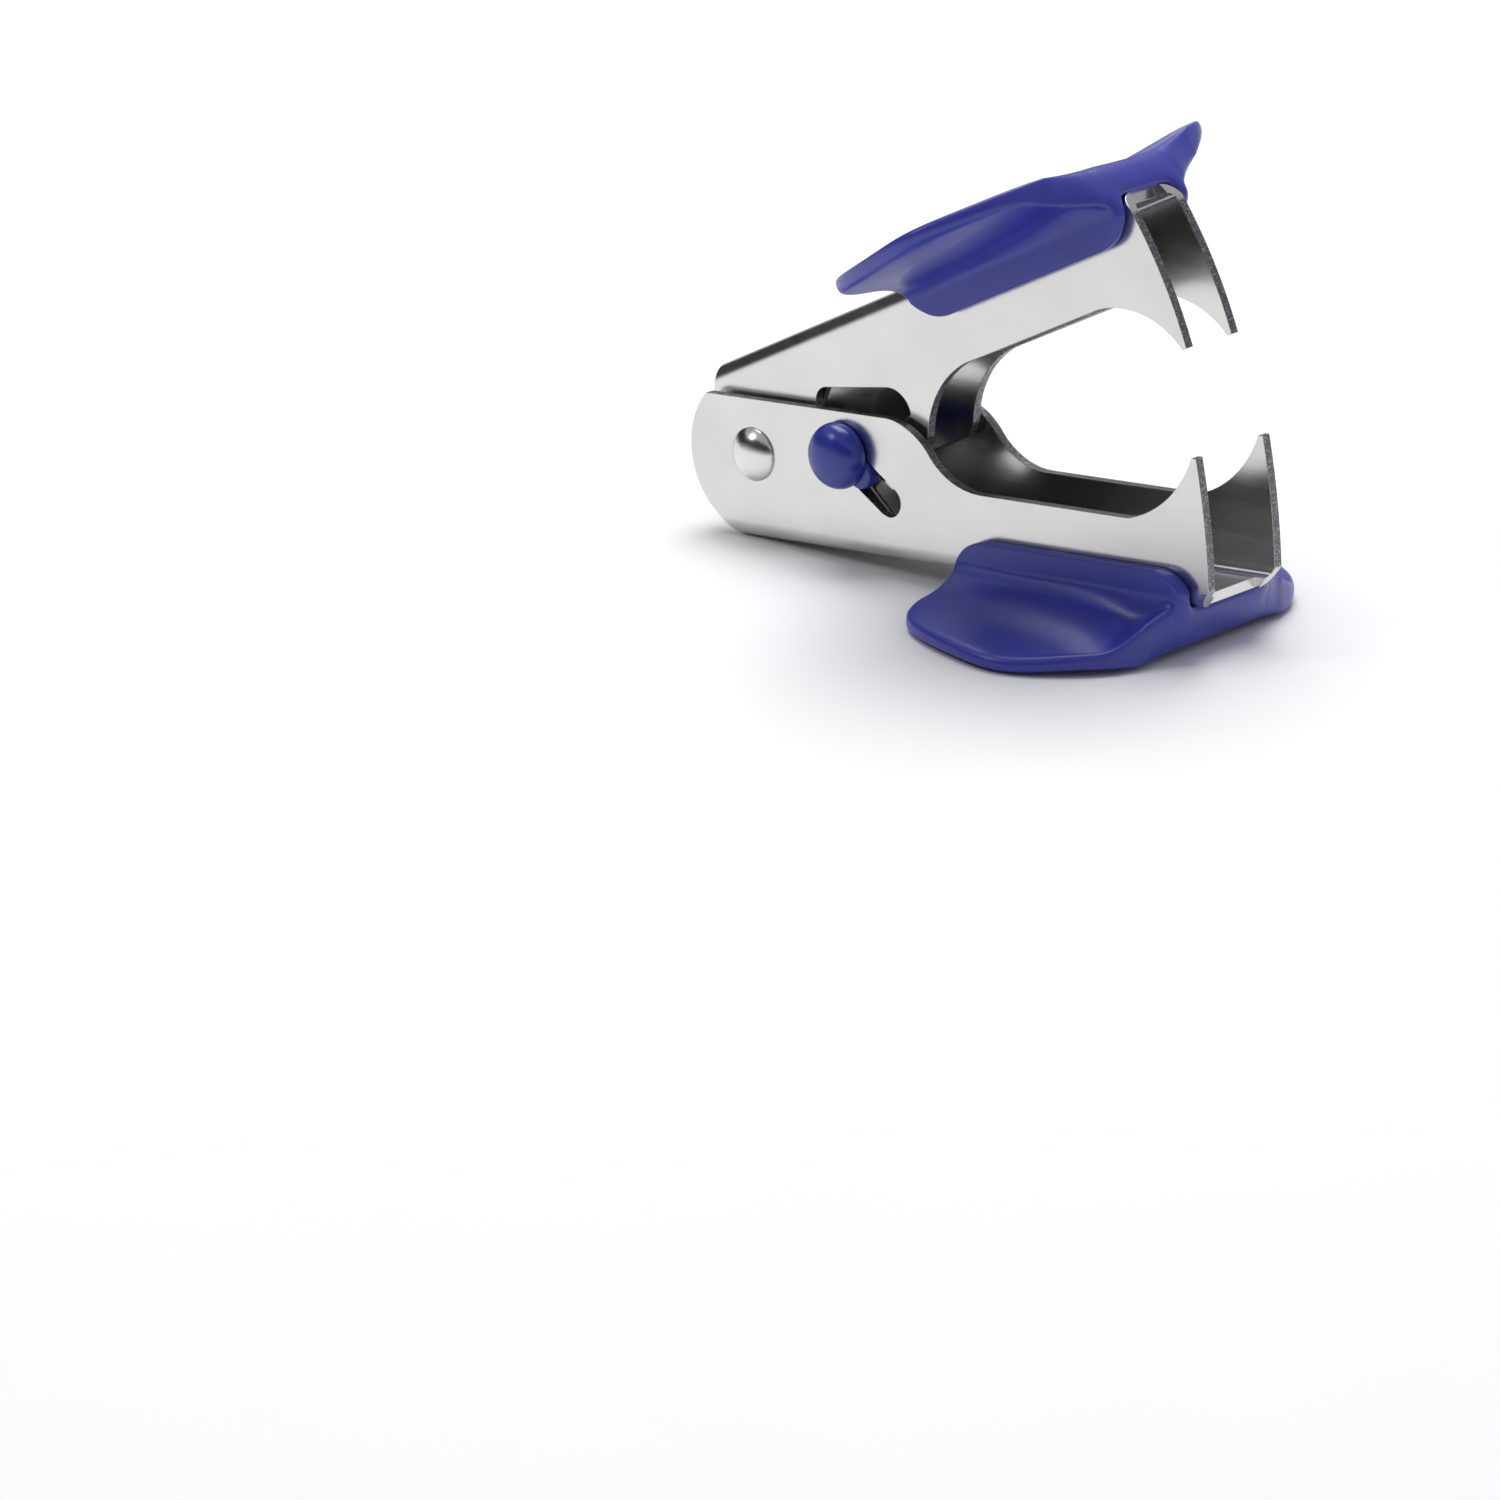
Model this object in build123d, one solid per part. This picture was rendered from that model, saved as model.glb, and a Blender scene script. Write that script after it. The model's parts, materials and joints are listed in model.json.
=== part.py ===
from build123d import *
import math
import os

# Jaw-type staple remover with a slide lock. Millimetres. Each jaw is drawn in its own frame: x runs
# from the pivot to the teeth, z up, pivot at (0, 0). The lower frame is then tilted so that the part
# stands on its rear corner and its grip, and the upper frame is turned about the pivot to the open rest.

# Sheet steel
SHEET = 0.9
BEND_OUT = 1.5
BEND_IN = 0.6

# Jaws
LOWER_WIDTH = 10.0
UPPER_WIDTH = 7.0
LOWER_WEB = -7.9
UPPER_WEB = 8.7
LOWER_WEB_FRONT = 49.2
UPPER_WEB_FRONT = 48.0
HEEL_R = 6.88
HOOK_CLEAR = 13.15
HOOK_POCKET = 16.34
HOOK_LEDGE = -15.8
OPEN_ANGLE = 22.0
STAND_TILT = 5.048

# Pivot
RIVET_R = 1.5
RIVET_HEAD_R = 2.45
RIVET_HEAD_H = 1.15
RUNNING_GAP = 0.05
PRESS_GAP = 0.01

# Torsion spring
WIRE_R = 0.4
COIL_R = 2.75
COIL_TURNS = 4
COIL_PITCH = 0.9

# Lock
SLOT_WIDTH = 2.8
SLOT_REAR = (10.7, 1.2)
SLOT_FRONT = (15.8, -2.5)
STEM_WIDTH = 2.6
STEM_LENGTH = 2.6
KNOB_R = 3.0
KNOB_H = 2.4
KNOB_GAP = 0.12
FLANGE_WIDTH = 3.9
FLANGE_LENGTH = 1.7
FLANGE_THICK = 0.32
FLANGE_GAP = 0.06
SLOT_GAP = 0.05
PIN_R = 0.6
PIN_DROP = 0.7

# Grips
GRIP_REAR = 24.6
GRIP_NOSE = 47.6
GRIP_HALF_WIDTH = 19.0
SKIRT_WALL = 1.4
SKIRT_TOP = 3.4
WING_THICK = 1.4
DISH_X = 30.0
DISH_LEVEL = -1.1
DISH_R_LONG = 75.0
DISH_R_CROSS = 90.0
RIM_ROUND = 0.45
GRIP_GAP = 0.02


def side_prism(edges, half_width):
    """Solid between y = -half_width and +half_width from an outline drawn in x and z."""
    return extrude(Plane.XZ * make_face(edges), amount=half_width, both=True)


def path(*steps):
    """Closed outline. A step of one point is a straight line to it, a step of two is an arc."""
    here = start = steps[0]
    edges = []
    for step in steps[1:]:
        if isinstance(step[0], tuple):
            edges.append(ThreePointArc(here, step[0], step[1]))
            here = step[1]
        else:
            edges.append(Line(here, step))
            here = step
    if math.dist(here, start) > 1e-6:
        edges.append(Line(here, start))
    return edges


def polar(radius, degrees):
    """Point at a radius and angle from the pivot."""
    angle = math.radians(degrees)
    return (radius * math.cos(angle), radius * math.sin(angle))


def channel(width, web, outward):
    """Endless U channel along x: web at the given level, its legs pointing away from outward."""
    tall = 60.0
    outer = Pos(0, web - outward * tall / 2) * RectangleRounded(width, tall, BEND_OUT)
    room = Pos(0, web - outward * (SHEET + tall / 2)) * RectangleRounded(width - 2 * SHEET, tall, BEND_IN)
    return Pos(-10, 0, 0) * extrude(Plane.YZ * (outer - room), amount=70)


def across(x, z, radius, half_width):
    """Round bar along y at a point of the side view."""
    return Pos(x, 0, z) * Rot(X=90) * Cylinder(radius, 2 * half_width)


def slot_bar(start, end, width, half_width):
    """Flat bar with round ends, along y, between two points of the side view."""
    length = math.dist(start, end)
    turn = math.degrees(math.atan2(end[1] - start[1], end[0] - start[0]))
    middle = ((start[0] + end[0]) / 2, (start[1] + end[1]) / 2)
    flat = Pos(*middle) * Rot(Z=turn) * SlotOverall(length + width, width)
    return extrude(Plane.XZ * flat, amount=half_width, both=True)


def near_side():
    """All space on the -y side of the middle plane."""
    return Pos(0, -50, 0) * Box(200, 100, 200)


def lower_jaw():
    """Outer jaw: wide channel with two upright teeth, rivet holes and the lock slot on the -y side."""
    outline = path(
        (-2.6, LOWER_WEB),
        (49.6, LOWER_WEB),
        (50.9, -6.2),
        ((50.8, -1.2), (50.15, 5.2)),
        (49.7, 5.2),
        ((47.3, 1.75), (42.6, -0.75)),
        (26.2, -0.7),
        ((22.9, 0.25), (20.9, 2.0)),
        ((18.9, 4.0), (16.0, 5.0)),
        (-5.3, 5.1),
        ((-7.6, 0.0), (-5.6, -5.3)),
    )
    jaw = side_prism(outline, LOWER_WIDTH) & channel(LOWER_WIDTH, LOWER_WEB, -1)
    jaw -= Pos(LOWER_WEB_FRONT + 5, 0, LOWER_WEB) * Box(10, LOWER_WIDTH - 2 * BEND_OUT, 4)
    jaw -= across(0, 0, RIVET_R + PRESS_GAP, LOWER_WIDTH)
    jaw -= slot_bar(SLOT_REAR, SLOT_FRONT, SLOT_WIDTH, LOWER_WIDTH) & near_side()
    return jaw


def upper_outline(foot):
    """Side view of the upper jaw: arm and tooth, then the given foot, then the round back."""
    return path(
        (-2.4, UPPER_WEB),
        (48.8, UPPER_WEB),
        (49.5, 7.4),
        ((50.25, 1.8), (50.2, -5.1)),
        (49.75, -5.1),
        ((47.35, -1.5), (42.4, 0.6)),
        (27.6, 0.6),
        ((22.2, -0.85), (19.3, -4.2)),
        (18.4, -5.1),
        (15.7, -5.1),
        *foot,
        (polar(HEEL_R, -60.0), polar(HEEL_R, -110.0)),
        (-4.83, -5.52),
        ((-7.4, 0.4), (-3.44, 6.69)),
    )


def upper_jaw():
    """Inner jaw: narrow channel with two hanging teeth and a stop heel. The near plate also has a
    window and a hooked foot for the lock pin; the far plate is whole."""
    hooked_foot = (
        (14.9, -7.35),
        (13.2, -7.35),
        polar(HOOK_CLEAR, -24.6),
        (polar(HOOK_CLEAR, -20.0), polar(HOOK_CLEAR, HOOK_LEDGE)),
        polar(HOOK_POCKET, HOOK_LEDGE),
        (polar(HOOK_POCKET, -12.0), polar(HOOK_POCKET, -9.0)),
        (18.3, -1.8),
        ((18.0, 0.1), (16.4, 1.25)),
        (9.6, 3.25),
        ((8.4, 2.9), (8.0, 2.0)),
        polar(HEEL_R, -12.0),
    )
    plain_foot = ((11.5, -5.1), polar(HEEL_R, -30.0))
    near = side_prism(upper_outline(hooked_foot), UPPER_WIDTH) & near_side()
    far = side_prism(upper_outline(plain_foot), UPPER_WIDTH) - near_side()
    jaw = (near + far) & channel(UPPER_WIDTH, UPPER_WEB, 1)
    jaw -= Pos(UPPER_WEB_FRONT + 5, 0, UPPER_WEB) * Box(10, UPPER_WIDTH - 2 * BEND_OUT, 4)
    jaw -= across(0, 0, RIVET_R + RUNNING_GAP, UPPER_WIDTH)
    return jaw


def domed_head(face, radius, height, edge):
    """Round head on the +y side of a face: a short straight edge under a spherical cap."""
    cap = height - edge
    ball = (radius**2 + cap**2) / (2 * cap)
    disc = Pos(0, face + height / 2, 0) * Rot(X=90) * Cylinder(radius, height)
    return disc & Pos(0, face + height - ball, 0) * Sphere(ball)


def pivot_rivet():
    """Round rivet through both jaws with a low domed head at each end."""
    face = LOWER_WIDTH / 2 + PRESS_GAP
    head = domed_head(face, RIVET_HEAD_R, RIVET_HEAD_H, 0.25)
    return across(0, 0, RIVET_R, face + 0.1) + head + mirror(head, about=Plane.XZ)


def tangent_angle(target, radius, way):
    """Angle at which a line from the target touches a circle round the pivot."""
    away = math.dist((0, 0), target)
    return math.degrees(math.atan2(target[1], target[0]) + way * math.acos(radius / away))


def torsion_spring():
    """Coil round the rivet with one leg on the floor of the lower jaw and one under the upper web."""
    floor_end = (10.5, LOWER_WEB + SHEET + WIRE_R + 0.03)
    turn = math.radians(OPEN_ANGLE)
    along, up = 13.0, UPPER_WEB - SHEET - WIRE_R - 0.03
    web_end = (along * math.cos(turn) - up * math.sin(turn), along * math.sin(turn) + up * math.cos(turn))
    first = tangent_angle(floor_end, COIL_R, 1)
    last = tangent_angle(web_end, COIL_R, -1)
    turns = COIL_TURNS + (last - first) / 360
    half_length = turns * COIL_PITCH / 2
    helix = Helix(pitch=COIL_PITCH, height=turns * COIL_PITCH, radius=COIL_R)
    helix = Rot(Y=-first) * Pos(0, half_length, 0) * Rot(X=90) * helix
    wire = Wire(
        [
            Line((floor_end[0], half_length, floor_end[1]), helix @ 0),
            helix.edge(),
            Line(helix @ 1, (web_end[0], -half_length, web_end[1])),
        ]
    )
    section = Plane(origin=wire @ 0, z_dir=wire % 0) * Circle(WIRE_R)
    return sweep(section, path=wire, transition=Transition.TRANSFORMED)


def slot_point(along, drop=0.0):
    """Point of the side view at a distance along the slot from its rear end, dropped square to it."""
    slope = math.atan2(SLOT_FRONT[1] - SLOT_REAR[1], SLOT_FRONT[0] - SLOT_REAR[0])
    return (
        SLOT_REAR[0] + along * math.cos(slope) + drop * math.sin(slope),
        SLOT_REAR[1] + along * math.sin(slope) - drop * math.cos(slope),
    )


def lock_knob():
    """Lock knob: domed head outside the near plate, stem in the slot and a thin flange behind it."""
    face = LOWER_WIDTH / 2
    rest = slot_point(SLOT_GAP)
    nose = slot_point(SLOT_GAP + STEM_LENGTH)
    head = domed_head(face + KNOB_GAP, KNOB_R, KNOB_H, 0.45)
    head = Pos(rest[0], 0, rest[1]) * chamfer(head.edges().sort_by(Axis.Y)[0], 0.2)
    back = face - SHEET - FLANGE_GAP
    stem = slot_bar(rest, nose, STEM_WIDTH, face + KNOB_GAP + 0.3)
    stem -= slot_bar(rest, nose, STEM_WIDTH + 1, back - FLANGE_THICK / 2)
    flange_nose = slot_point(SLOT_GAP + FLANGE_LENGTH)
    flange = slot_bar(rest, flange_nose, FLANGE_WIDTH, back)
    flange -= slot_bar(rest, flange_nose, FLANGE_WIDTH + 1, back - FLANGE_THICK)
    knob = mirror(head, about=Plane.XZ) + ((stem + flange) & near_side())
    pin_at = slot_point(SLOT_GAP + STEM_LENGTH, PIN_DROP)
    return knob - across(pin_at[0], pin_at[1], PIN_R + PRESS_GAP, face + KNOB_GAP)


def lock_pin():
    """Steel pin set in the knob, which reaches through the near plate of the upper jaw."""
    x, z = slot_point(SLOT_GAP + STEM_LENGTH, PIN_DROP)
    pin = across(x, z, PIN_R, LOWER_WIDTH / 2 + KNOB_GAP - 0.05)
    return pin - across(x, z, PIN_R + 1, UPPER_WIDTH / 2 - SHEET - 0.3) & near_side()


def barrel(crown, long_radius, cross_radius):
    """Large barrel lying across the jaw, its crown at the given level above the dish centre."""
    axis_z = crown - long_radius
    reach = 24.0
    drop = cross_radius - math.sqrt(cross_radius**2 - reach**2)
    half = [
        Line((-reach, axis_z), (reach, axis_z)),
        Line((reach, axis_z), (reach, crown - drop)),
        ThreePointArc((reach, crown - drop), (0, crown), (-reach, crown - drop)),
        Line((-reach, crown - drop), (-reach, axis_z)),
    ]
    profile = Plane.YZ * make_face(half)
    return Pos(DISH_X, 0, 0) * revolve(profile, axis=Axis((0, 0, axis_z), (0, 1, 0)))


def grip_plan():
    """Outline of a grip seen from the finger side: widest past the middle, with a straight nose."""
    rear, nose, wide = GRIP_REAR, GRIP_NOSE, GRIP_HALF_WIDTH
    return make_face(
        [
            Line((rear, -11.6), (rear, 11.6)),
            ThreePointArc((rear, 11.6), (25.8, 14.8), (28.4, 16.8)),
            ThreePointArc((28.4, 16.8), (34.0, 18.45), (39.6, wide)),
            ThreePointArc((39.6, wide), (45.4, 16.6), (nose, 11.0)),
            Line((nose, 11.0), (nose, -11.0)),
            ThreePointArc((nose, -11.0), (45.4, -16.6), (39.6, -wide)),
            ThreePointArc((39.6, -wide), (34.0, -18.45), (28.4, -16.8)),
            ThreePointArc((28.4, -16.8), (25.8, -14.8), (rear, -11.6)),
        ]
    )


def grip(width):
    """Moulded grip for a channel of the given width, with the channel's web at z = 0 and the
    fingers below: saddle over the web, a skirt on each side, dished wings and a raised nose wall."""
    inside = width / 2 + GRIP_GAP
    outside = inside + SKIRT_WALL
    back = barrel(DISH_LEVEL + WING_THICK, DISH_R_LONG + WING_THICK, DISH_R_CROSS + WING_THICK)
    dish = barrel(DISH_LEVEL, DISH_R_LONG, DISH_R_CROSS)
    wings = (extrude(Pos(0, 0, -7) * grip_plan(), amount=12) & back) - dish
    rims = wings.edges().filter_by(lambda edge: edge.length > 2)
    wings = fillet(rims, RIM_ROUND)
    skirt_line = path(
        (GRIP_REAR + 0.5, -3.0),
        (GRIP_REAR + 0.2, 0.6),
        ((GRIP_REAR + 0.8, 2.5), (GRIP_REAR + 2.4, SKIRT_TOP)),
        (46.8, SKIRT_TOP),
        ((48.7, 2.6), (49.6, 0.4)),
        (GRIP_NOSE + 0.2, -3.3),
        (GRIP_NOSE - 1.4, -4.6),
    )
    saddle = side_prism(skirt_line, outside)
    back_of_nose = GRIP_NOSE - 1.6
    nose_line = path(
        (back_of_nose, 1.0), (49.6, 1.0), (49.6, 0.4), (GRIP_NOSE, -3.6), (GRIP_NOSE, -5), (back_of_nose, -5)
    )
    ridge = Polyline((-13.6, -2.4), (0, 2.6), (13.6, -2.4), (13.6, -6), (-13.6, -6), close=True)
    wedge = Plane.YZ * make_face(ridge)
    nose = side_prism(nose_line, 13.0) & Pos(40, 0, 0) * extrude(wedge, amount=15)
    body = wings + (saddle - dish) + (nose - dish)
    return body - Pos(40, 0, 10 - GRIP_GAP) * Box(60, 2 * inside, 20)


def build():
    """All pieces in the shared frame: open rest pose, origin at the middle of the footprint."""
    opened = Rot(Y=-OPEN_ANGLE)
    lower_grip = Pos(0, 0, LOWER_WEB) * grip(LOWER_WIDTH)
    upper_grip = Pos(0, 0, UPPER_WEB) * mirror(grip(UPPER_WIDTH), about=Plane.XY)
    pieces = {
        "lower_jaw": lower_jaw(),
        "lower_grip": lower_grip,
        "pivot_rivet": pivot_rivet(),
        "torsion_spring": torsion_spring(),
        "upper_jaw": opened * upper_jaw(),
        "upper_grip": opened * upper_grip,
        "lock_knob": lock_knob(),
        "lock_pin": lock_pin(),
    }
    standing = {name: Rot(Y=-STAND_TILT) * piece for name, piece in pieces.items()}
    boxes = [piece.bounding_box() for piece in standing.values()]
    rear = min(box.min.X for box in boxes)
    front = max(box.max.X for box in boxes)
    home = Pos(-(rear + front) / 2, 0, -min(box.min.Z for box in boxes))
    return {name: home * piece for name, piece in standing.items()}


os.makedirs("parts", exist_ok=True)
for node, piece in build().items():
    export_step(piece, f"parts/{node}.step")
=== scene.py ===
import json
import math

import bmesh
import bpy
from mathutils import Matrix, Vector


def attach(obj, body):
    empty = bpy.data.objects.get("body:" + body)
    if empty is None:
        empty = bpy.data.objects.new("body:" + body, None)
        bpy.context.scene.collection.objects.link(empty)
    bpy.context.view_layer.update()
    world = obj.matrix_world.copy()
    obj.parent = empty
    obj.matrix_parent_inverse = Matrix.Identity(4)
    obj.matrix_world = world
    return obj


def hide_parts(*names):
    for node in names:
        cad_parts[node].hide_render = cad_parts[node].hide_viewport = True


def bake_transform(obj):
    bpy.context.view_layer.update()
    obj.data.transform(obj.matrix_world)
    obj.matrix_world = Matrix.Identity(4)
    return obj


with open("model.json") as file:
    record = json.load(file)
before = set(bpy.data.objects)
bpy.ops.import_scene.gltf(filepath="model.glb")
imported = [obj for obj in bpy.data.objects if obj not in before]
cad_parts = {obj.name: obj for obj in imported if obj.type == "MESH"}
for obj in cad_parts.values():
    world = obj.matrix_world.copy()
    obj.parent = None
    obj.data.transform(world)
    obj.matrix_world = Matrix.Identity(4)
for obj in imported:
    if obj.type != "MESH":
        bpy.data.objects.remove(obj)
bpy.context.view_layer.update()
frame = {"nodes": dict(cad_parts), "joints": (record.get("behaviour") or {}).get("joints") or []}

# Staple remover, drawn in millimetres in the frame of each jaw: x from the pivot to the teeth,
# z up, pivot at (0, 0). frame_of() gives the matrix that turns a drawing into the shared frame in metres.

OPEN_ANGLE = 22.0
SHEET = 0.9
LOWER_WEB = -7.9
UPPER_WEB = 8.7
LOWER_HALF = 5.0
UPPER_HALF = 3.5

SLOT_REAR = Vector((10.7, 0.0, 1.2))
SLOT_FRONT = Vector((15.8, 0.0, -2.5))

RIVET_R = 1.5
RIVET_HEAD_R = 2.45
RIVET_HEAD_H = 1.15

KNOB_R = 3.0
KNOB_H = 2.4
KNOB_GAP = 0.12
STEM_HALF = 1.3
STEM_LENGTH = 2.65
FLANGE_LENGTH = 1.75
FLANGE_HALF = 1.95
FLANGE_THICK = 0.32
FLANGE_GAP = 0.06

WIRE_R = 0.4
COIL_R = 2.75
COIL_TURNS = 4
COIL_PITCH = 0.9

GRIP_REAR = 24.6
GRIP_NOSE = 47.6
GRIP_RIM = [(24.6, 11.4), (25.3, 14.6), (28.4, 16.7), (34.0, 18.4),
            (39.2, 18.8), (43.8, 15.6), (46.4, 12.4), (47.45, 9.2)]
GRIP_CLEAR = 0.02
SKIRT_WALL = 1.4
ROOT_TOP = 1.0
WING = 1.4

# Lines along a skirt: height over the web, rear end, front end.
LOWER_SKIRT = [(1.55, 24.2, 49.4), (2.2, 24.7, 48.9), (2.75, 25.3, 48.3),
               (3.15, 26.1, 47.6), (3.4, 27.3, 46.4)]
UPPER_SKIRT = [(1.5, 23.6, 49.4), (2.2, 24.2, 48.9), (2.9, 25.0, 48.3),
               (3.45, 25.9, 47.6), (3.8, 27.2, 46.4)]

joints = {joint["name"]: joint for joint in frame["joints"]}
pivot = Vector(joints["jaw_hinge"]["pos_m"])
slide = joints["lock_slide"]["axis"]
slot_angle = math.atan2(SLOT_FRONT.z - SLOT_REAR.z, SLOT_FRONT.x - SLOT_REAR.x)
stand_tilt = math.atan2(slide[2], slide[0]) - slot_angle


def frame_of(turn):
    """Matrix from a jaw's drawing in millimetres to the shared frame."""
    return Matrix.Translation(pivot) @ Matrix.Rotation(-turn, 4, "Y") @ Matrix.Scale(0.001, 4)


LOWER = frame_of(stand_tilt)
UPPER = frame_of(stand_tilt + math.radians(OPEN_ANGLE))


# Shapes


def mesh_piece(name, verts, faces, matrix):
    """Mesh object from drawing points, smooth shaded, with its place in its vertices."""
    mesh = bpy.data.meshes.new(name)
    mesh.from_pydata([matrix @ Vector(v) for v in verts], [], faces)
    work = bmesh.new()
    work.from_mesh(mesh)
    bmesh.ops.recalc_face_normals(work, faces=work.faces)
    for face in work.faces:
        face.smooth = True
    work.to_mesh(mesh)
    work.free()
    piece = bpy.data.objects.new(name, mesh)
    bpy.context.scene.collection.objects.link(piece)
    return piece


def soften(piece, levels):
    """Subdivides a piece smoothly."""
    smooth = piece.modifiers.new("smooth", "SUBSURF")
    smooth.levels = levels
    smooth.render_levels = levels
    return piece


def ramp(start, end, value):
    """Smooth step from 0 at start to 1 at end."""
    t = min(1.0, max(0.0, (value - start) / (end - start)))
    return t * t * (3 - 2 * t)


def spline(points, shares):
    """Points at the given shares of the length of a smooth curve through the plan points."""
    ends = [2 * Vector(points[0]) - Vector(points[1]), 2 * Vector(points[-1]) - Vector(points[-2])]
    knots = [ends[0]] + [Vector(p) for p in points] + [ends[1]]
    fine = []
    for a, b, c, d in zip(knots, knots[1:], knots[2:], knots[3:]):
        for step in range(40):
            t = step / 40
            fine.append(0.5 * (2 * b + (c - a) * t + (2 * a - 5 * b + 4 * c - d) * t**2
                               + (3 * b - a - 3 * c + d) * t**3))
    fine.append(knots[-2])
    far = [0.0]
    for p, q in zip(fine, fine[1:]):
        far.append(far[-1] + (q - p).length)
    out = []
    for share in shares:
        want = share * far[-1]
        i = max(1, next((k for k, f in enumerate(far) if f >= want), len(far) - 1))
        t = (want - far[i - 1]) / max(1e-9, far[i] - far[i - 1])
        out.append(fine[i - 1].lerp(fine[i], t))
    return out


def lathe(name, profile, middle, matrix, steps=72):
    """Solid of revolution about a bar along y: profile is (y, radius) from one end to the other."""
    verts, faces = [], []
    for y, r in profile:
        for k in range(steps):
            a = 2 * math.pi * k / steps
            verts.append((middle[0] + r * math.cos(a), y, middle[1] + r * math.sin(a)))
    for i in range(len(profile) - 1):
        for k in range(steps):
            n = (k + 1) % steps
            faces.append((i * steps + k, i * steps + n, (i + 1) * steps + n, (i + 1) * steps + k))
    faces.append(tuple(range(steps)))
    faces.append(tuple(reversed(range((len(profile) - 1) * steps, len(profile) * steps))))
    return mesh_piece(name, verts, faces, matrix)


def tube(name, points, radius, matrix, sides=20):
    """Round wire along a line of drawing points, with slightly rounded ends."""
    points = [Vector(p) for p in points]
    verts, faces = [], []
    side = None
    tangents = [(points[min(i + 1, len(points) - 1)] - points[max(i - 1, 0)]).normalized()
                for i in range(len(points))]
    tangents = [tangents[0]] + tangents + [tangents[-1]]
    start = (points[0] - tangents[0] * radius * 0.25, 0.72)
    end = (points[-1] + tangents[-1] * radius * 0.25, 0.72)
    rings = [start] + [(p, 1.0) for p in points] + [end]
    for (point, share), along in zip(rings, tangents):
        side = along.orthogonal() if side is None else side - along * side.dot(along)
        side.normalize()
        up = along.cross(side)
        for k in range(sides):
            a = 2 * math.pi * k / sides
            verts.append(point + radius * share * (side * math.cos(a) + up * math.sin(a)))
    for i in range(len(rings) - 1):
        for k in range(sides):
            n = (k + 1) % sides
            faces.append((i * sides + k, i * sides + n, (i + 1) * sides + n, (i + 1) * sides + k))
    faces.append(tuple(range(sides)))
    faces.append(tuple(reversed(range((len(rings) - 1) * sides, len(rings) * sides))))
    return mesh_piece(name, verts, faces, matrix)


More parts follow.
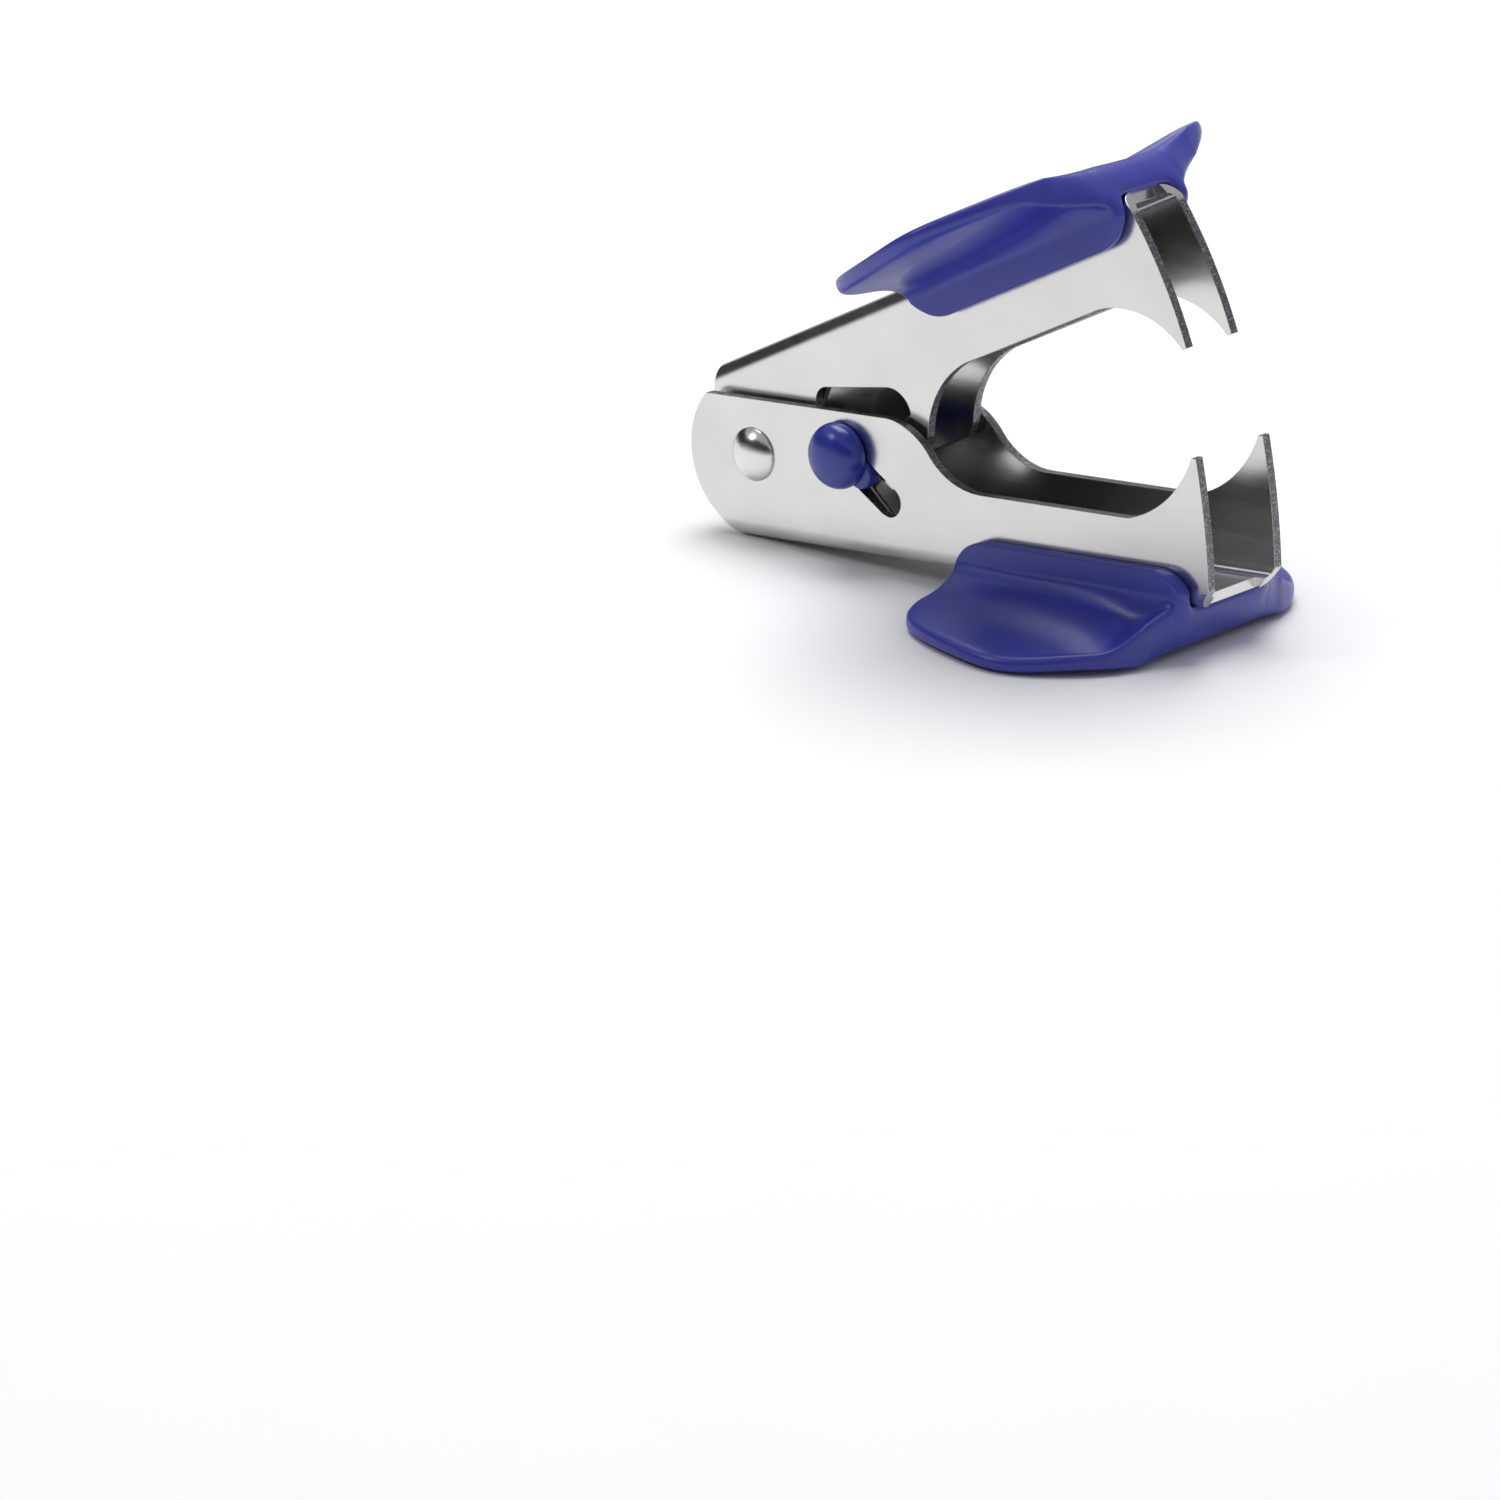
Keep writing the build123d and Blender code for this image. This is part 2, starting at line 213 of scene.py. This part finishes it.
def grip(name, half, web, facing, matrix, reach, levels, roll, pull):
    """Moulded grip as one quad shell. facing is -1 under the lower web and 1 over the upper one.
    reach(x, y) is how far the finger side stands off the web, levels are the height, rear end and
    front end of each line along the skirt, roll is how much the wings lean over, and pull is how
    far the rear edge reaches back beside the skirt."""
    inside = half + GRIP_CLEAR
    outside = inside + SKIRT_WALL
    stations = [0, 0.02, 0.06, 0.12, 0.2, 0.29, 0.38, 0.47, 0.56, 0.65, 0.73, 0.8, 0.86, 0.91,
                0.955, 1.0]
    rim = spline(GRIP_RIM, stations)
    shares = [0.0, 0.07, 0.15, 0.25, 0.37, 0.5, 0.64, 0.78, 0.9, 1.0]

    def jaw_side(x, y, u):
        """Height of the wing's jaw side, towards the jaws: valley at the skirt, wall at the nose."""
        low = WING - reach(x, y)
        wall = 0.15 - 2.7 * ramp(outside, 14.2, y)
        low += max(0.0, wall - low) * ramp(44.9, 47.0, x)
        radius = 2.6 + 1.6 * (1 - ramp(0.0, 0.3, u))
        near = max(0.0, 1 - (y - outside) / radius)
        rise = max(0.0, ROOT_TOP + 0.45 * (1 - ramp(0.0, 0.3, u)) - low)
        return low + rise * (1 - math.sqrt(1 - near * near))

    def lean(x, y, z, u):
        """The nose face leans forward from its finger edge to the web, and less at its corners."""
        rise = min(1.0, max(0.0, (z + 3.7) / 4.1))
        return x + 1.9 * rise * ramp(0.78, 1.0, u) * (1 - ramp(4.0, 10.0, y))

    rows = []
    for u, edge in zip(stations, rim):
        x0 = GRIP_REAR + u * (GRIP_NOSE - GRIP_REAR)
        fingers, jaws = [], []
        plan = [(x0, 0.0), (x0, inside * 0.5), (x0, inside), (x0, outside)]
        plan += [(x0 + (edge.x - x0) * s**1.3, outside + (edge.y - outside) * s) for s in shares[1:]]
        back = pull * (1 - ramp(0.0, 0.35, u))
        plan = [(x - back * (1 - ramp(outside, 11.0, y)), y) for x, y in plan]
        for x, y in plan:
            z = -reach(x, y)
            fingers.append((lean(x, y, z, u), y, z))
        for x, y in plan[:3]:
            jaws.append((lean(x, y, 0.02, u), y, 0.02))
        for z, rear, front in levels:
            jaws.append((rear + u * (front - rear), inside, z))
        for z, rear, front in reversed(levels):
            jaws.append((rear + u * (front - rear), outside, z))
        for x, y in plan[3:]:
            z = jaw_side(x, y, u)
            jaws.append((lean(x, y, z, u), y, z))
        rows.append((fingers, jaws))

    work = bmesh.new()
    grid = {}

    def vert(i, k, face, sign):
        """Vertex of station i, profile point k, on one side of the middle."""
        point = rows[i][face][k]
        key = (i, k, face, sign if point[1] > 0 else 1)
        if key not in grid:
            grid[key] = work.verts.new((point[0], point[1] * sign, point[2]))
        return grid[key]

    count = len(rows[0][0])
    tall = len(levels)
    last = len(rows) - 1
    edge_jaw = len(rows[0][1]) - 1
    for sign in (1, -1):
        for i in range(last):
            for face, length in ((0, count), (1, edge_jaw + 1)):
                for k in range(length - 1):
                    work.faces.new([vert(i, k, face, sign), vert(i + 1, k, face, sign),
                                    vert(i + 1, k + 1, face, sign), vert(i, k + 1, face, sign)])
            work.faces.new([vert(i, count - 1, 0, sign), vert(i + 1, count - 1, 0, sign),
                            vert(i + 1, edge_jaw, 1, sign), vert(i, edge_jaw, 1, sign)])
        for i in (0, last):
            root = 3 + 2 * tall
            for k in range(count - 1):
                lower = k if k <= 2 else root + k - 3
                upper = k + 1 if k + 1 <= 2 else root + k + 1 - 3
                work.faces.new([vert(i, k, 0, sign), vert(i, k + 1, 0, sign),
                                vert(i, upper, 1, sign), vert(i, lower, 1, sign)])
            for step in range(tall):
                inner, outer = 2 + step, root - step
                work.faces.new([vert(i, inner, 1, sign), vert(i, outer, 1, sign),
                                vert(i, outer - 1, 1, sign), vert(i, inner + 1, 1, sign)])
    bmesh.ops.recalc_face_normals(work, faces=work.faces)
    for v in work.verts:
        lean_over = roll * math.copysign(max(0.0, abs(v.co.y) - 3.5), v.co.y)
        v.co.z = web + facing * (lean_over - v.co.z)
    work.transform(matrix)
    if facing > 0:
        bmesh.ops.reverse_faces(work, faces=work.faces)
    for face in work.faces:
        face.smooth = True
    mesh = bpy.data.meshes.new(name)
    work.to_mesh(mesh)
    work.free()
    piece = bpy.data.objects.new(name, mesh)
    bpy.context.scene.collection.objects.link(piece)
    return soften(piece, 2)


def lower_reach(x, y):
    """Finger side of the lower grip: a shallow dish with a straight deep nose."""
    dish = 1.1 + (x - 30) ** 2 / 150 + y * y / 180
    return dish + ramp(41.0, 47.6, x) * (0.75 - 0.8 * y * y / 180)


def upper_reach(x, y):
    """Finger side of the upper grip: the same dish, hollowed more across."""
    return 1.1 + (x - 30) ** 2 / 150 + y * y / 138


def oblong(start, end, half_width):
    """Ring of points round a slot shape between two points of the side view."""
    along = (SLOT_FRONT - SLOT_REAR).normalized()
    across = Vector((-along.z, 0, along.x))
    ring = []
    for centre, first in ((end, -90), (start, 90)):
        for step in range(13):
            a = math.radians(first + 15 * step)
            ring.append(centre + half_width * (along * math.cos(a) + across * math.sin(a)))
    return ring


def knob():
    """Lock knob: domed button with a rounded waist, the stem in the slot and a flange behind it."""
    base = LOWER_HALF + KNOB_GAP
    profile = [(base, 2.3), (base, 2.66), (base + 0.06, 2.82), (base + 0.2, 2.94), (base + 0.42, KNOB_R)]
    for step in range(1, 15):
        a = math.pi / 2 * step / 14.4
        profile.append((base + 0.42 + (KNOB_H - 0.42) * math.sin(a) ** 0.93, KNOB_R * math.cos(a) ** 0.86))
    profile = [(-y, r) for y, r in profile]
    head = lathe("knob_domed", profile, (SLOT_REAR.x, SLOT_REAR.z), LOWER)
    along = (SLOT_FRONT - SLOT_REAR).normalized()
    nose = SLOT_REAR + along * STEM_LENGTH
    flange = oblong(SLOT_REAR, SLOT_REAR + along * FLANGE_LENGTH, FLANGE_HALF)
    back = LOWER_HALF - SHEET - FLANGE_GAP
    rings = [(back - FLANGE_THICK, flange), (back, flange)]
    rings += [(y, oblong(SLOT_REAR, nose, STEM_HALF - shrink))
              for y, shrink in ((back, 0.0), (LOWER_HALF + 0.28, 0.0), (LOWER_HALF + 0.38, 0.05),
                                (LOWER_HALF + 0.42, 0.13))]
    verts = [(p.x, -y, p.z) for y, ring in rings for p in ring]
    count = len(flange)
    faces = []
    for i in range(len(rings) - 1):
        for k in range(count):
            n = (k + 1) % count
            faces.append((i * count + k, i * count + n, (i + 1) * count + n, (i + 1) * count + k))
    faces.append(tuple(range(count)))
    faces.append(tuple(reversed(range((len(rings) - 1) * count, len(rings) * count))))
    stem = mesh_piece("knob_stem", verts, faces, LOWER)
    union = head.modifiers.new("stem", "BOOLEAN")
    union.operation = "UNION"
    union.object = stem
    union.solver = "EXACT"
    graph = bpy.context.evaluated_depsgraph_get()
    joined = bpy.data.meshes.new_from_object(head.evaluated_get(graph))
    head.modifiers.clear()
    head.data = joined
    joined.set_sharp_from_angle(angle=math.radians(42))
    bpy.data.objects.remove(stem)
    return head


def rivet():
    """Rivet: shank through both jaws, low domed heads with a soft edge."""
    face = LOWER_HALF + 0.01
    half = [(face + RIVET_HEAD_H, 0.02)]
    for step in range(1, 13):
        a = math.radians(58) * step / 12
        r = 2.3 * math.sin(a) / math.sin(math.radians(58))
        half.append((face + 0.3 + (RIVET_HEAD_H - 0.3) * (math.cos(a) - math.cos(math.radians(58)))
                     / (1 - math.cos(math.radians(58))), r))
    half += [(face + 0.2, 2.4), (face + 0.1, RIVET_HEAD_R), (face, RIVET_HEAD_R), (face, RIVET_R)]
    profile = half + [(-y, r) for y, r in reversed(half)]
    return lathe("rivet_turned", profile, (0, 0), LOWER)


def spring():
    """Torsion spring: coil round the rivet, one leg on each web."""
    floor_end = (10.5, LOWER_WEB + SHEET + WIRE_R + 0.03)
    turn = math.radians(OPEN_ANGLE)
    along, up = 13.0, UPPER_WEB - SHEET - WIRE_R - 0.03
    web_end = (along * math.cos(turn) - up * math.sin(turn), along * math.sin(turn) + up * math.cos(turn))
    first = math.atan2(floor_end[1], floor_end[0]) + math.acos(COIL_R / math.hypot(*floor_end))
    last = math.atan2(web_end[1], web_end[0]) - math.acos(COIL_R / math.hypot(*web_end))
    turns = COIL_TURNS + (last - first) / (2 * math.pi)
    half = turns * COIL_PITCH / 2
    coil = []
    steps = 260
    for step in range(steps + 1):
        a = first + 2 * math.pi * turns * step / steps
        coil.append(Vector((COIL_R * math.cos(a), half - 2 * half * step / steps, COIL_R * math.sin(a))))
    start = Vector((floor_end[0], half, floor_end[1]))
    end = Vector((web_end[0], -half, web_end[1]))
    points = [start.lerp(coil[0], t / 8) for t in range(8)] + coil
    points += [coil[-1].lerp(end, t / 8) for t in range(1, 9)]
    piece = tube("spring_wire", points, WIRE_R, LOWER)
    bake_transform(piece)
    return piece


# Materials


class Shader:
    """Small helper that adds nodes to a material and links them."""

    def __init__(self, name):
        self.material = bpy.data.materials.new(name)
        self.material.use_nodes = True
        self.nodes = self.material.node_tree.nodes
        self.links = self.material.node_tree.links
        self.out = self.nodes["Principled BSDF"]
        self.where = self.nodes.new("ShaderNodeTexCoord").outputs["Object"]

    def set(self, **values):
        for key, value in values.items():
            self.out.inputs[key.replace("_", " ")].default_value = value

    def join(self, source, target):
        self.links.new(source, self.out.inputs[target] if isinstance(target, str) else target)

    def math(self, operation, a, b=0.0, clamp=False):
        node = self.nodes.new("ShaderNodeMath")
        node.operation = operation
        node.use_clamp = clamp
        for socket, value in zip(node.inputs, (a, b)):
            if isinstance(value, (int, float)):
                socket.default_value = value
            else:
                self.links.new(value, socket)
        return node.outputs[0]

    def stretch(self, turn, scale):
        """Object position turned into a jaw's own directions and stretched."""
        node = self.nodes.new("ShaderNodeMapping")
        node.inputs["Rotation"].default_value = (0, turn, 0)
        node.inputs["Scale"].default_value = scale
        self.links.new(self.where, node.inputs["Vector"])
        return node.outputs[0]

    def noise(self, vector, scale, detail=3.0, rough=0.5):
        node = self.nodes.new("ShaderNodeTexNoise")
        node.inputs["Scale"].default_value = scale
        node.inputs["Detail"].default_value = detail
        node.inputs["Roughness"].default_value = rough
        self.links.new(vector, node.inputs["Vector"])
        return node.outputs["Fac"]

    def blend(self, share, low, high):
        """Value from low to high, by share."""
        node = self.nodes.new("ShaderNodeMapRange")
        node.inputs["To Min"].default_value = low
        node.inputs["To Max"].default_value = high
        self.links.new(share, node.inputs["Value"])
        return node.outputs[0]

    def colours(self, share, low, high, start=0.0, end=1.0):
        node = self.nodes.new("ShaderNodeValToRGB")
        node.color_ramp.elements[0].position = start
        node.color_ramp.elements[1].position = end
        node.color_ramp.elements[0].color = (*low, 1)
        node.color_ramp.elements[1].color = (*high, 1)
        self.links.new(share, node.inputs["Fac"])
        return node.outputs["Color"]

    def mix(self, share, a, b):
        node = self.nodes.new("ShaderNodeMix")
        node.data_type = "RGBA"
        self.links.new(share, node.inputs["Factor"])
        self.links.new(a, node.inputs[6])
        self.links.new(b, node.inputs[7])
        return node.outputs[2]

    def rounded(self, radius):
        """Normal with hard edges rounded off by this radius, in metres."""
        node = self.nodes.new("ShaderNodeBevel")
        node.samples = 6
        node.inputs["Radius"].default_value = radius
        return node.outputs[0]

    def bump(self, height, strength, distance, under=None):
        node = self.nodes.new("ShaderNodeBump")
        node.inputs["Strength"].default_value = strength
        node.inputs["Distance"].default_value = distance
        self.links.new(height, node.inputs["Height"])
        if under is not None:
            self.links.new(under, node.inputs["Normal"])
        return node.outputs["Normal"]


def sheared_edge(shader, turn, level, sign):
    """1 on the cut edges of a pressed sheet, 0 on its rolled faces and on the bent web."""
    nodes, links = shader.nodes, shader.links
    normal = nodes.new("ShaderNodeTexCoord").outputs["Normal"]
    split = nodes.new("ShaderNodeSeparateXYZ")
    links.new(normal, split.inputs[0])
    flat = shader.math("ABSOLUTE", split.outputs["Y"])
    cut = shader.math("MULTIPLY", shader.math("SUBTRACT", 0.62, flat), 8.0, clamp=True)
    offset = nodes.new("ShaderNodeVectorMath")
    offset.operation = "SUBTRACT"
    offset.inputs[1].default_value = pivot
    links.new(shader.where, offset.inputs[0])
    height = nodes.new("ShaderNodeVectorMath")
    height.operation = "DOT_PRODUCT"
    height.inputs[1].default_value = (-math.sin(turn), 0, math.cos(turn))
    links.new(offset.outputs[0], height.inputs[0])
    past = shader.math("SUBTRACT", height.outputs["Value"], level * 0.001)
    clear = shader.math("MULTIPLY", past, sign * 4000.0, clamp=True)
    return shader.math("MULTIPLY", cut, clear)


def plated_sheet(name, turn, level, sign):
    """Nickel plate on cold rolled sheet: faint rolling streaks, cloudy gloss, torn sheared edges."""
    shader = Shader(name)
    streaks = shader.noise(shader.stretch(turn, (40, 900, 1600)), 1.0, 4.0, 0.6)
    clouds = shader.noise(shader.where, 130.0, 3.0)
    grit = shader.noise(shader.where, 5200.0, 2.0)
    cut = sheared_edge(shader, turn, level, sign)
    tears = shader.noise(shader.stretch(turn, (7800, 2600, 7800)), 1.0, 4.0, 0.7)
    face = shader.colours(clouds, (0.650, 0.643, 0.630), (0.730, 0.723, 0.710), 0.3, 0.72)
    edge = shader.colours(tears, (0.14, 0.14, 0.155), (0.66, 0.655, 0.65), 0.50, 0.74)
    shader.join(shader.mix(cut, face, edge), "Base Color")
    gloss = shader.math("ADD", shader.blend(clouds, 0.15, 0.27), shader.blend(streaks, -0.05, 0.06))
    rough = shader.math("ADD", gloss, shader.math("MULTIPLY", cut, 0.16))
    shader.join(rough, "Roughness")
    low = shader.bump(grit, 0.05, 0.00002, shader.rounded(0.00009))
    low = shader.bump(streaks, 0.10, 0.00003, low)
    torn = shader.math("MULTIPLY", tears, cut)
    shader.join(shader.bump(torn, 0.5, 0.00007, low), "Normal")
    shader.set(Metallic=1.0)
    return shader.material


def turned_steel(name, middle, tint, rings):
    """Plated turned or drawn steel with faint rings about the rivet line."""
    shader = Shader(name)
    offset = shader.nodes.new("ShaderNodeMapping")
    offset.inputs["Location"].default_value = (-middle.x, 0, -middle.z)
    offset.inputs["Scale"].default_value = (1, 0.0, 1)
    shader.links.new(shader.where, offset.inputs["Vector"])
    length = shader.nodes.new("ShaderNodeVectorMath")
    length.operation = "LENGTH"
    shader.links.new(offset.outputs[0], length.inputs[0])
    wave = shader.math("SINE", shader.math("MULTIPLY", length.outputs["Value"], rings))
    clouds = shader.noise(shader.where, 420.0, 3.0)
    dents = shader.noise(shader.where, 1500.0, 2.0)
    darker = tuple(0.86 * c for c in tint)
    shader.join(shader.colours(clouds, darker, tint, 0.3, 0.7), "Base Color")
    shader.join(shader.blend(clouds, 0.12, 0.27), "Roughness")
    low = shader.bump(wave, 0.06, 0.00002)
    shader.join(shader.bump(dents, 0.22, 0.00006, low), "Normal")
    shader.set(Metallic=1.0)
    return shader.material


def spring_steel():
    """Drawn spring wire: darker, with fine draw lines and a trace of oil."""
    shader = Shader("drawn_wire")
    lines = shader.noise(shader.stretch(0.0, (2600, 300, 2600)), 1.0, 3.0)
    clouds = shader.noise(shader.where, 700.0, 3.0)
    shader.join(shader.colours(clouds, (0.26, 0.26, 0.28), (0.47, 0.46, 0.46), 0.3, 0.7), "Base Color")
    shader.join(shader.blend(lines, 0.22, 0.4), "Roughness")
    shader.join(shader.bump(lines, 0.15, 0.00003), "Normal")
    shader.set(Metallic=1.0)
    return shader.material


def moulded(name, deep, pale, grain, rough_low, rough_high, coat):
    """Blue moulded plastic: fine tool texture, cloudy gloss and faint handling marks."""
    shader = Shader(name)
    clouds = shader.noise(shader.where, 160.0, 4.0)
    texture = shader.noise(shader.where, 3300.0, 2.0)
    scuffs = shader.noise(shader.stretch(0.5, (300, 2400, 300)), 1.0, 2.0, 0.7)
    shader.join(shader.colours(clouds, deep, pale, 0.3, 0.75), "Base Color")
    gloss = shader.math("ADD", shader.blend(clouds, rough_low, rough_high), shader.blend(scuffs, -0.04, 0.05))
    shader.join(gloss, "Roughness")
    low = shader.bump(texture, grain, 0.00005)
    shader.join(shader.bump(scuffs, 0.04, 0.00004, low), "Normal")
    shader.set(IOR=1.5, Coat_Weight=coat, Coat_Roughness=0.12)
    return shader.material


def dress(piece, material):
    piece.data.materials.clear()
    piece.data.materials.append(material)
    return piece


# Pieces

lower_steel = plated_sheet("plated_sheet_lower", stand_tilt, -6.3, 1)
upper_steel = plated_sheet("plated_sheet_upper", stand_tilt + math.radians(OPEN_ANGLE), 7.1, -1)
rivet_metal = turned_steel("turned_rivet", pivot, (0.80, 0.79, 0.775), 42000.0)
pin_metal = turned_steel("ground_pin", pivot, (0.72, 0.72, 0.72), 9000.0)
blue_grip = moulded("moulded_grip_blue", (0.025, 0.030, 0.295), (0.037, 0.044, 0.385), 0.34, 0.32, 0.42, 0.14)
blue_knob = moulded("moulded_knob_blue", (0.020, 0.030, 0.260), (0.030, 0.044, 0.345), 0.12, 0.20, 0.28, 0.1)

for node, metal in (("lower_jaw", lower_steel), ("upper_jaw", upper_steel)):
    dress(frame["nodes"][node], metal)

dress(frame["nodes"]["lock_pin"], pin_metal)

turned = rivet()
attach(turned, "lower")
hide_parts("pivot_rivet")
dress(turned, rivet_metal)

wire = spring()
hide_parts("torsion_spring")
dress(wire, spring_steel())

lower_grip = grip("grip_lower_moulding", LOWER_HALF, LOWER_WEB, -1, LOWER,
                  lower_reach, LOWER_SKIRT, roll=0.0, pull=0.4)
upper_grip = grip("grip_upper_moulding", UPPER_HALF, UPPER_WEB, 1, UPPER,
                  upper_reach, UPPER_SKIRT, roll=0.075, pull=0.9)
for moulding, body in ((lower_grip, "lower"), (upper_grip, "upper")):
    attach(moulding, body)
    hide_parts(body + "_grip")
    dress(moulding, blue_grip)

button = knob()
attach(button, "lock")
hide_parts("lock_knob")
dress(button, blue_knob)


# Studio


def sheet_object(name, corners, colour, rough):
    mesh = bpy.data.meshes.new(name)
    mesh.from_pydata(corners, [], [(0, 1, 2, 3)])
    board = bpy.data.objects.new(name, mesh)
    bpy.context.scene.collection.objects.link(board)
    shader = Shader(name + "_finish")
    grain = shader.noise(shader.where, 60.0, 3.0)
    shader.join(shader.colours(grain, tuple(0.985 * c for c in colour), colour), "Base Color")
    shader.set(Roughness=rough)
    board.data.materials.append(shader.material)
    return board


def softbox(name, place, aim, size, power):
    lamp = bpy.data.lights.new(name, "AREA")
    lamp.shape = "RECTANGLE"
    lamp.size, lamp.size_y = size
    lamp.energy = power
    box = bpy.data.objects.new(name, lamp)
    box.location = place
    box.rotation_mode = "QUATERNION"
    box.rotation_quaternion = (Vector(aim) - Vector(place)).to_track_quat("-Z", "Y")
    bpy.context.scene.collection.objects.link(box)


PALE = (0.93, 0.93, 0.935)
DARK = (0.02, 0.02, 0.024)

sheet_object("floor", [(-4, -4, 0), (4, -4, 0), (4, 4, 0), (-4, 4, 0)], PALE, 0.7)

world = bpy.data.worlds.new("studio")
bpy.context.scene.world = world
world.use_nodes = True
world.node_tree.nodes["Background"].inputs["Color"].default_value = (0.97, 0.98, 1.0, 1)
world.node_tree.nodes["Background"].inputs["Strength"].default_value = 0.42

softbox("overhead", (-0.25, 0.25, 0.9), (0, 0, 0), (0.7, 0.7), 8.6)
softbox("front_fill", (-0.5, -0.7, 0.7), (0, 0, 0.02), (0.3, 0.3), 1.2)

# Dark boards outside the view, which the steel reflects.
flag = sheet_object("flag", [(-1.6, -0.9, 0.12), (1.3, -0.9, 0.12), (1.3, -0.9, 0.62), (-1.6, -0.9, 0.62)],
                    DARK, 0.9)
side_flag = sheet_object("side_flag", [(-1.1, -0.9, 0.1), (-1.1, 0.5, 0.1), (-1.1, 0.5, 0.6),
                                       (-1.1, -0.9, 0.6)], DARK, 0.9)
for board in (flag, side_flag):
    board.visible_camera = False

# Camera: angles in degrees round the object, distance and aim in metres.

VIEW_AZIMUTH = 42.41
VIEW_HEIGHT = 19.81
VIEW_DISTANCE = 0.5
VIEW_AIM = Vector((-0.02683, 0, -0.02245))
IMAGE_SIDE = 1500
FOCAL_PIXELS = 5422
SENSOR = 36

azimuth, height = math.radians(VIEW_AZIMUTH), math.radians(VIEW_HEIGHT)
back = Vector((math.sin(azimuth) * math.cos(height), -math.cos(azimuth) * math.cos(height), math.sin(height)))
lens = bpy.data.cameras.new("camera")
lens.sensor_width = SENSOR
lens.lens = FOCAL_PIXELS / IMAGE_SIDE * SENSOR
lens.clip_start = 0.01
lens.clip_end = 20
camera = bpy.data.objects.new("camera", lens)
camera.location = VIEW_AIM + back * VIEW_DISTANCE
camera.rotation_mode = "QUATERNION"
camera.rotation_quaternion = (-back).to_track_quat("-Z", "Y")
bpy.context.scene.collection.objects.link(camera)
bpy.context.scene.camera = camera
bpy.context.scene.view_settings.view_transform = "Standard"
